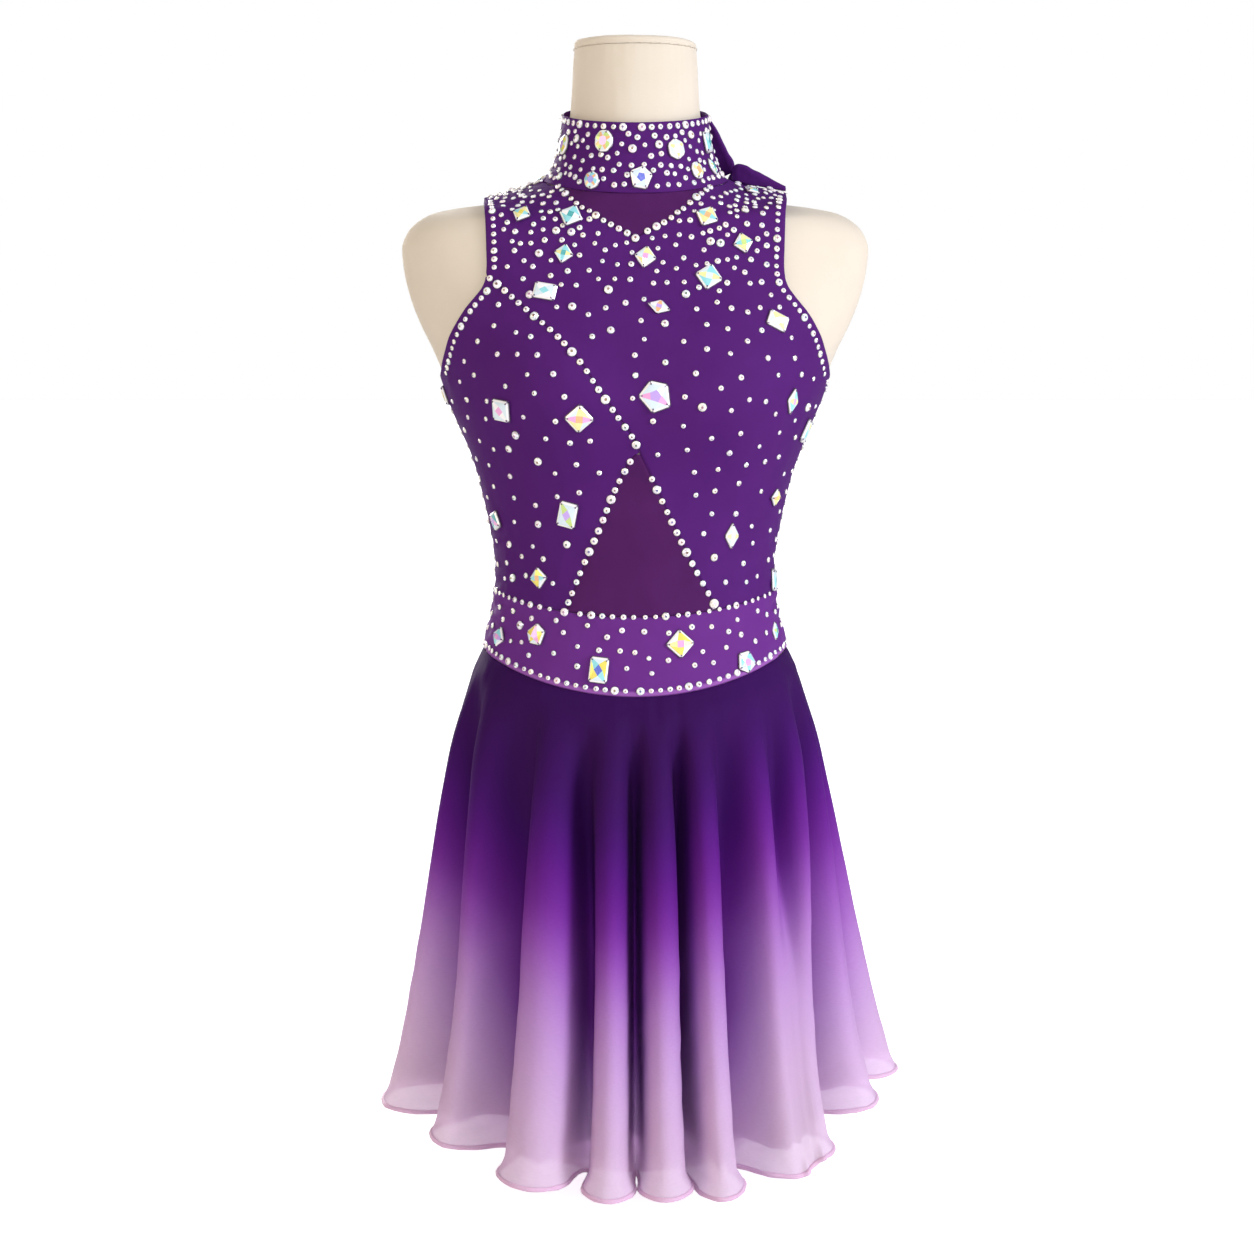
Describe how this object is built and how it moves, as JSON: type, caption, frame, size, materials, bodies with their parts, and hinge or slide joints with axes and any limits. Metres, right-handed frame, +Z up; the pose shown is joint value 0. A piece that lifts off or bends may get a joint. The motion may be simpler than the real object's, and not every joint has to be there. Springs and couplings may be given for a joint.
{
  "type": "figure skating dress on a limbless dress form",
  "caption": "Sleeveless high-neck figure skating dress with a stone-set bodice and a fluted ombre chiffon skirt, on a limbless dress form with a round base.",
  "frame": {"origin": "on the floor, under the middle of the dress form's round base plate", "axes": "+Z up along the form's post; the front of the dress faces -Y, and +X is towards the wearer's left"},
  "size_m": [0.4081, 0.3755, 0.8786],
  "materials": {
    "jersey": "soft stretch jersey, violet purple",
    "mesh": "matt stretch mesh, violet purple",
    "chiffon": "sheer chiffon, dip-dyed from deep purple at the waist to pale lilac at the hem",
    "form_cover": "cream jersey cover, fine knit",
    "base_paint": "satin white paint",
    "post_steel": "brushed steel tube",
    "stones": "cut glass stones with a pearly coating"
  },
  "bodies": {
    "root": {"collar": "jersey", "front_neck_insert": "mesh", "front_wrap_panel": "jersey", "front_side_panel": "jersey", "front_mesh_triangle": "mesh", "waistband_front": "jersey", "waistband_back": "jersey", "back_left": "jersey", "back_right": "jersey", "skirt_front": "chiffon", "skirt_back": "chiffon", "underskirt_front": "chiffon", "underskirt_back": "chiffon", "tie_strip": "jersey", "tie_end": "jersey", "tie_knot": "jersey", "form_torso": "form_cover", "form_neck_cap": "form_cover", "form_post": "post_steel", "form_base": "base_paint"}
  },
  "joints": []
}
